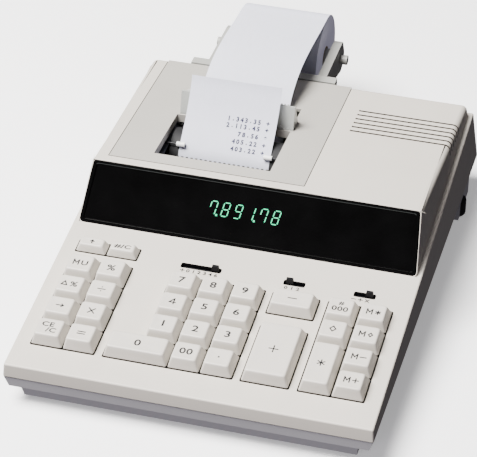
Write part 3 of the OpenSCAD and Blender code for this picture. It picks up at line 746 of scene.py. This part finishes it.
# ---- display ----
def make_display():
    mesh = Mesh(on_face)
    rings = []
    for inset, z in [(0.15, -1.75), (0.15, -0.35), (0.25, -0.15), (0.45, -0.04), (0.7, 0), (1.9, 0),
                     (2.1, -0.06), (2.3, -0.2), (2.4, -0.45), (2.4, -0.66), (2.45, -0.7)]:
        rings.append([(x, y, z) for x, y in panel_outline(inset)])
    n = len(rings[0])
    mesh.loft(rings)
    # the top stretch of the rim's inner slope gets the painted highlight
    inner_bevel = range(5 * n, 7 * n)
    for i, f in enumerate(mesh.faces[:-2]):
        top = all(rings[v // n][v % n][1] > FACE_LEN - 3.4 for v in f)
        mesh.mats[i] = 1 if i in inner_bevel and top else 0
    obj = mesh.build("display_panel")
    outward(obj)
    smooth(obj, 40.0)
    dress(obj, "case", [MAT["display_black"], LIP_HIGHLIGHT], ["display_window"])


SEGMENTS = {"0": "abcdef", "1": "bc", "7": "abcf", "8": "abcdefg", "9": "abcdfg"}


def make_digits():
    """Slanted seven-part digits and points, lit green, just above the filter."""
    mesh = Mesh(on_face)
    w, h, slant, bar, gap, pitch = 3.8, 8.2, 0.2, 0.62, 0.35, 7.75
    first_x, foot_y, depth = -25.9, 17.2, (-0.72, -0.64)
    ends = {"a": ((0, h), (w, h)), "b": ((w, h), (w, h / 2)), "c": ((w, h / 2), (w, 0)),
            "d": ((0, 0), (w, 0)), "e": ((0, h / 2), (0, 0)), "f": ((0, h), (0, h / 2)),
            "g": ((0, h / 2), (w, h / 2))}

    def part(a, b, x0, y0):
        a, b = Vector(a), Vector(b)
        d = (b - a).normalized()
        a, b, n = a + d * gap, b - d * gap, Vector((-d.y, d.x)) * bar / 2
        tip = d * bar * 0.4
        outline = [a, a + tip + n, b - tip + n, b, b - tip - n, a + tip - n]
        mesh.extrude([(x0 + p.x + slant * p.y, y0 + p.y) for p in outline], *depth)

    for i, (digit, point) in enumerate([("7", 1), ("8", 0), ("9", 0), ("1", 1), ("7", 0), ("8", 0)]):
        x0 = first_x + i * pitch
        for s in SEGMENTS[digit]:
            part(*ends[s], x0, foot_y)
        if point:
            mesh.extrude(round_rect(x0 + w + 1.4, foot_y + 0.1, 0.6, 0.6, 0.3), *depth)
    obj = mesh.build("display_digits")
    outward(obj)
    dress(obj, "case", [GREEN])


make_display()
make_digits()

# ---- keys ----
ARROW = [((-2.1, 0), (2.1, 0)), ((0.9, 1.1), (2.1, 0)), ((0.9, -1.1), (2.1, 0))]
UP = [((0, -1.1), (0, 1.2)), ((-0.9, 0.3), (0, 1.2)), ((0.9, 0.3), (0, 1.2))]
DIAMOND = [((0, 2.1), (1.7, 0)), ((1.7, 0), (0, -2.1)), ((0, -2.1), (-1.7, 0)), ((-1.7, 0), (0, 2.1))]
PLUS = [((-2.1, 0), (2.1, 0)), ((0, -2.1), (0, 2.1))]
MINUS = [((-2.2, 0), (2.2, 0))]
EQUALS = [((-2.1, 0.85), (2.1, 0.85)), ((-2.1, -0.85), (2.1, -0.85))]
TIMES = [((-1.8, -1.9), (1.8, 1.9)), ((-1.8, 1.9), (1.8, -1.9))]
DIVIDE = MINUS + [((0, 1.6), (0, 1.8)), ((0, -1.6), (0, -1.8))]
STAR = [((1.9 * math.cos(a), 1.9 * math.sin(a)), (-1.9 * math.cos(a), -1.9 * math.sin(a)))
        for a in (math.pi / 2, math.pi / 6, -math.pi / 6)]
DELTA = [((-1.7, -1.7), (1.7, -1.7)), ((1.7, -1.7), (0, 1.7)), ((0, 1.7), (-1.7, -1.7))]
DOT = [((0, -0.05), (0, 0.05))]
LETTER_M = [((-1.5, -1.9), (-1.5, 1.9)), ((-1.5, 1.9), (0, -0.5)), ((0, -0.5), (1.5, 1.9)),
            ((1.5, 1.9), (1.5, -1.9))]
FOUR = [((0.8, -2.2), (0.8, 2.2)), ((0.8, 2.2), (-1.8, -0.9)), ((-1.8, -0.9), (1.8, -0.9))]


def symbol(lines, dx=0.0, dy=0.0, k=1.0, width=0.72):
    points, faces = stroke_shape([((a[0] * k, a[1] * k), (b[0] * k, b[1] * k)) for a, b in lines], width)
    return [(x + dx, y + dy, z) for x, y, z in points], faces


def letters(words, dx=0.0, dy=0.0, size=5.0, stretch=1.2, bold=0.02):
    points, faces = text_shape(words, size, stretch, bold)
    return [(x + dx, y + dy, z) for x, y, z in points], faces


def key_surface(x, y, w, l):
    """The rings of a key cap from its skirt to the middle of its slightly hollow top."""
    g, top = KEY_GAP / 2, SMALL_H if l == SMALL_LEN else KEY_H
    base = (x + g, x + w - g, y + g, y + l - g)
    crown = (x + 2.4, x + w - 2.4, y + 1.2, y + l - min(4.6, l * 0.24))
    lip, dish = 0.9, 0.28

    def at(t):
        return [b + (c - b) * t for b, c in zip(base, crown)]

    def outline(box, inset, r, z):
        cx, cy = (box[0] + box[1]) / 2, (box[2] + box[3]) / 2
        hw, hl = (box[1] - box[0]) / 2 - inset, (box[3] - box[2]) / 2 - inset
        return [(px, py, z) for px, py in round_rect(cx, cy, hw, hl, r)]

    rings = [outline(base, 0.5, 0.5, -1.5), outline(base, 0, 0.9, -1.5), outline(base, 0, 0.9, 0)]
    rings += [outline(at(t), 0, 0.9 + 0.7 * t, top * t) for t in (0.045, 0.3, 0.6, 1 - lip / top)]
    for a in (25, 50, 70, 90):
        rise, inset = math.sin(math.radians(a)), 1 - math.cos(math.radians(a))
        t = 1 - lip / top + lip / top * rise
        rings.append(outline(at(t), lip * inset * 0.85, 1.6, top - lip + lip * rise))
    cx, cy = (crown[0] + crown[1]) / 2, (crown[2] + crown[3]) / 2
    hw, hl = (crown[1] - crown[0]) / 2 - lip * 0.85, (crown[3] - crown[2]) / 2 - lip * 0.85
    steps = [0.9, 0.75, 0.55, 0.3]
    for s in steps:
        depth = dish * (1 - s ** 2) * min(1.0, (1 - s) * 4)
        rings.append([(px, py, top - depth) for px, py in round_rect(cx, cy, hw * s, hl * s, 1.2 * s)])
    table = [(1.0, 0.0)] + [(s, dish * (1 - s ** 2) * min(1.0, (1 - s) * 4)) for s in steps]
    table.append((0.0, table[-1][1]))

    def height(px, py):
        s = max(abs(px - cx) / hw, abs(py - cy) / hl)
        for (s1, d1), (s0, d0) in zip(table, table[1:]):
            if s >= s0:
                return top - (d0 + (d1 - d0) * (s - s0) / (s1 - s0))
        return top

    return rings, (cx, cy), height


def make_key(node, x, y, w, l, legend):
    mesh = Mesh(on_deck)
    rings, (cx, cy), height = key_surface(x, y, w, l)
    mesh.loft(rings)
    # the skirt and the lowest ring of the flanks are painted shade, the dark line in the gap round each key
    dark = 3 * len(rings[0])      # faces of the skirt and of the lowest ring of the flanks
    mesh.mats[:dark] = [2] * dark
    for points, faces in legend:
        placed = [(cx + a, cy + b, height(cx + a, cy + b) + 0.05 + c) for a, b, c in points]
        mesh.add(placed, faces, 1)
    obj = mesh.build(node + "_cap")
    smooth(obj, 50.0, False)
    dress(obj, node, [MAT["key_beige"], INK, SHADE], [node])


def cell(x0, c, r, w=1, l=1):
    return (x0 + c * PITCH, ROW_Y + r * PITCH, w * PITCH, l * PITCH)


KEYS = {
    "key_feed": ((LEFT_X, SMALL_Y, PITCH, SMALL_LEN), [symbol(UP, 0, 0, 1.1, 0.75)]),
    "key_item": ((LEFT_X + PITCH, SMALL_Y, PITCH, SMALL_LEN), [letters("#/C", size=3.3, stretch=1.4)]),
    "key_ce": (cell(LEFT_X, 0, 0), [letters("CE", -1.3, 2.2, 3.7), letters("/C", 1.5, -2.2, 3.7)]),
    "key_equals": (cell(LEFT_X, 1, 0), [symbol(EQUALS)]),
    "key_forward": (cell(LEFT_X, 0, 1), [symbol(ARROW, width=0.7)]),
    "key_times": (cell(LEFT_X, 1, 1), [symbol(TIMES)]),
    "key_delta": (cell(LEFT_X, 0, 2), [symbol(DELTA, -3.4, 0, 0.95), letters("%", 2.2, 0, 4.2)]),
    "key_divide": (cell(LEFT_X, 1, 2), [symbol(DIVIDE, width=0.65)]),
    "key_markup": (cell(LEFT_X, 0, 3), [symbol(LETTER_M, -2.5, 0), letters("U", 2.6, 0, 4.0)]),
    "key_percent": (cell(LEFT_X, 1, 3), [letters("%", size=4.8)]),
    "key_0": (cell(NUMBER_X, 0, 0, 2), [letters("0")]),
    "key_00": (cell(NUMBER_X, 2, 0), [letters("00", size=4.8)]),
    "key_point": (cell(NUMBER_X, 3, 0), [symbol(DOT, width=1.0)]),
    "key_plus": ((WIDE_X, ROW_Y, WIDE_W, PLUS_LEN), [symbol(PLUS, k=1.2)]),
    "key_minus": ((WIDE_X, MINUS_Y, WIDE_W, MINUS_LEN), [symbol(MINUS, k=1.1)]),
    "key_total": (cell(RIGHT_X, 0, 0, 1, 2), [symbol(STAR, k=1.15)]),
    "key_diamond": (cell(RIGHT_X, 0, 2), [symbol(DIAMOND)]),
    "key_date": (cell(RIGHT_X, 0, 3), [letters("#", 0, 2.6, 3.0), letters("000", 0, -1.9, 3.9)]),
    "key_m_plus": (cell(RIGHT_X, 1, 0), [symbol(LETTER_M, -2.0, 0), symbol(PLUS, 2.9, 0, 0.75)]),
    "key_m_minus": (cell(RIGHT_X, 1, 1), [symbol(LETTER_M, -2.0, 0), symbol(MINUS, 2.9, 0, 0.75)]),
    "key_m_diamond": (cell(RIGHT_X, 1, 2), [symbol(LETTER_M, -2.0, 0), symbol(DIAMOND, 2.8, 0, 0.7)]),
    "key_m_total": (cell(RIGHT_X, 1, 3), [symbol(LETTER_M, -2.0, 0), symbol(STAR, 2.9, 0, 0.75)]),
}
for i in range(1, 10):
    legend = symbol(FOUR) if i == 4 else letters(str(i))
    KEYS[f"key_{i}"] = (cell(NUMBER_X, 1 + (i - 1) % 3, 1 + (i - 1) // 3), [legend])
for node, (box, legend) in KEYS.items():
    make_key(node, *box, legend)


# ---- small printed marks on the deck, under the switches ----
def make_marks():
    mesh = Mesh(on_deck)

    def mark(shape, x):
        points, faces = shape
        mesh.add([(x + a, MARK_Y + b, 0.03 + c) for a, b, c in points], faces)

    def figures(row, x, step):
        for i, t in enumerate(row):
            mark(letters(t, size=MARK_SIZE, bold=0.03), x + i * step)

    figures("012346", -27.6, 3.4)
    mark(symbol(PLUS, k=0.5, width=0.6), -31.0)
    figures("012", 31.9, 3.6)
    for x, lines in [(72.6, MINUS), (76.6, PLUS), (80.6, TIMES)]:
        mark(symbol(lines, k=0.55, width=0.6), x)
    obj = mesh.build("deck_marks")
    dress(obj, "case", [INK])


make_marks()


# ---- paper ----
def bezier(a, b, c, d, t):
    u = 1 - t
    return tuple(u ** 3 * a[i] + 3 * t * u ** 2 * b[i] + 3 * t * t * u * c[i] + t ** 3 * d[i]
                 for i in (0, 1))


def between(a, b, t):
    return (a[0] + (b[0] - a[0]) * t, a[1] + (b[1] - a[1]) * t)


WRAP_R = PLATEN_R + 0.25


def on_platen(a):
    return (PLATEN[0] + WRAP_R * math.cos(math.radians(a)), PLATEN[1] + WRAP_R * math.sin(math.radians(a)))


def strip(name, line, curl, cross=10, thickness=0.12):
    """A sheet of paper along a line of (y, z) points.

    curl(s, u) lifts it along its normal, with s from 0 to 1 along the line and u from 0 to 1 across.
    """
    count = len(line)
    lengths = [0.0]
    for a, b in zip(line, line[1:]):
        lengths.append(lengths[-1] + math.dist(a, b))
    mesh = Mesh()
    points = []
    for side in (0.5, -0.5):
        for i, p in enumerate(line):
            a, b = line[max(i - 1, 0)], line[min(i + 1, count - 1)]
            d = math.dist(a, b)
            ny, nz = -(b[1] - a[1]) / d, (b[0] - a[0]) / d
            for k in range(cross + 1):
                u = k / cross
                lift = curl(lengths[i] / lengths[-1], u) + side * thickness
                points.append((PAPER_X + PAPER_W * (u - 0.5), p[0] + ny * lift, p[1] + nz * lift))
    row, sheet = cross + 1, count * (cross + 1)
    faces = []
    for i in range(count - 1):
        for k in range(cross):
            a = i * row + k
            faces.append((a, a + 1, a + row + 1, a + row))
            faces.append((sheet + a, sheet + a + row, sheet + a + row + 1, sheet + a + 1))
        for k in (0, cross):
            a = i * row + k
            faces.append((a, a + row, sheet + a + row, sheet + a))
    for i in (0, count - 1):
        for k in range(cross):
            a = i * row + k
            faces.append((a, a + 1, sheet + a + 1, sheet + a))
    mesh.add(points, faces)
    obj = mesh.build(name)
    outward(obj)
    smooth(obj, 50.0, False)
    return obj, lengths


def make_paper():
    gap = math.dist(FEED_BEND[2], PLATEN)
    touch = math.degrees(math.atan2(FEED_BEND[2][1] - PLATEN[1], FEED_BEND[2][0] - PLATEN[0])
                         - math.acos(WRAP_R / gap))
    roll_top = (ROLL[0], ROLL[1] + ROLL_R + 0.2)
    supply = [bezier(roll_top, *FEED_BEND, i / 30) for i in range(31)]
    tail = on_platen(touch)
    end = supply[-1]
    supply += [between(end, tail, t) for t in (0.08, 0.16, 0.24)]
    obj, _ = strip("paper_supply", supply, lambda s, u: 0.35 * math.sin(math.pi * s) * (2 * u - 1) ** 2)
    obj.data.materials.append(MAT["paper"])
    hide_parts("paper_web")
    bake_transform(obj, "case", "cover", start=in_case(PAPER_X, 330, 78), end=in_case(PAPER_X, 246, 76))
    wrap = [between(end, tail, t) for t in (0.3, 0.6, 0.85)]
    wrap += [on_platen(touch + (LEAVE - 360 - touch) * i / 40) for i in range(41)]
    leave = on_platen(LEAVE)
    low = (leave, (leave[0] + 4.5, leave[1] + 4.2), (CREASE[0] - 3, CREASE[1] - 3.4), CREASE)
    wrap += [bezier(*low, t / 8) for t in range(1, 9)]
    crease_at = len(wrap) - 1
    high = (CREASE, (CREASE[0] + 4, CREASE[1] + 4.4), (TAPE_END[0] - 2, TAPE_END[1] - 7), TAPE_END)
    wrap += [bezier(*high, t / 10) for t in range(1, 11)]
    obj, lengths = strip("paper_tape", wrap, lambda s, u: 0.0)
    dress(obj, "case", [MAT["paper"]])
    print_lines(wrap, lengths, crease_at)


def printed(sign):
    """One printed sign as (points, faces); a point or comma is a dot at the foot of the line."""
    if sign not in ".,":
        return text_shape(sign, 2.9, 0.95, 0.045)
    points, faces = stroke_shape(DOT, 0.7)
    return [(x, y - 0.8, z) for x, y, z in points], faces


def print_lines(line, lengths, crease_at):
    """Printed sums on the tape, bent along it: rows of figures, the newest lowest."""
    mesh = Mesh()
    margin, pitch = 5.5, 2.75

    def place(s):
        for i in range(len(line) - 1):
            if lengths[i] <= s <= lengths[i + 1]:
                a, b = line[i], line[i + 1]
                d = math.dist(a, b)
                point = between(a, b, (s - lengths[i]) / (lengths[i + 1] - lengths[i]))
                return point, (-(b[1] - a[1]) / d, (b[0] - a[0]) / d)
        return line[-1], (0, 1)

    crease = lengths[crease_at]
    rows = [(crease + 2.6, "1,343.35", "+"), (crease - 1.6, "2,113.45", "+"), (crease - 6.6, "78.56", "*"),
            (crease - 11.4, "405.22", "+"), (crease - 16.2, "403.22", "+")]
    right = PAPER_X + PAPER_W / 2
    for s, figures, sign in rows:
        for i, ch in enumerate(reversed(figures + " " + sign)):
            if ch == " ":
                continue
            points, faces = printed(ch)
            x0 = right - margin - i * pitch
            placed = []
            for a, b, c in points:
                (y, z), (ny, nz) = place(s + b)
                lift = 0.07 + c
                placed.append((x0 + a, y + ny * lift, z + nz * lift))
            mesh.add(placed, faces)
    obj = mesh.build("paper_print")
    dress(obj, "case", [PRINT_INK])


def around_roll(profile, n=96):
    """Rings round the roll's axis, one for each (x, radius)."""
    angles = [2 * math.pi * k / n for k in range(n)]
    return [[(PAPER_X + x, ROLL[0] + r * math.cos(a), ROLL[1] + r * math.sin(a)) for a in angles]
            for x, r in profile]


def make_roll():
    """Wound paper with slightly uneven edges, on a cardboard core."""
    random.seed(7)
    mesh = Mesh()
    half = PAPER_W / 2
    radii = [CORE_R + (ROLL_R - CORE_R) * i / 22 for i in range(23)]
    profile = [(-half + 0.1 + 0.14 * random.random(), r) for r in radii]
    profile[-1] = (-half + 0.05, ROLL_R - 0.15)
    other = [(half - 0.1 - 0.14 * random.random(), r) for r in reversed(radii)]
    other[0] = (half - 0.05, ROLL_R - 0.15)
    profile += [(-half + 0.2, ROLL_R), (half - 0.2, ROLL_R)] + other
    rings = around_roll(profile)
    mesh.loft(rings, closed=True)
    rim = len(radii)
    for i in range(len(mesh.faces)):
        ring = i // len(rings[0])
        mesh.mats[i] = 1 if ring < rim - 1 or ring > rim + 1 else 0
    obj = mesh.build("paper_roll_coil")
    outward(obj)
    smooth(obj, 30.0)
    dress(obj, "paper_roll", [MAT["paper"], ROLL_SIDE], ["paper_roll"])
    core = Mesh()
    inner, outer = BORE_R + 0.05, CORE_R - 0.05
    core.loft(around_roll([(-half, inner), (-half, outer), (half, outer), (half, inner)]), closed=True)
    obj = core.build("paper_roll_core")
    outward(obj)
    smooth(obj, 30.0)
    dress(obj, "paper_roll", [CARDBOARD])


make_paper()
make_roll()
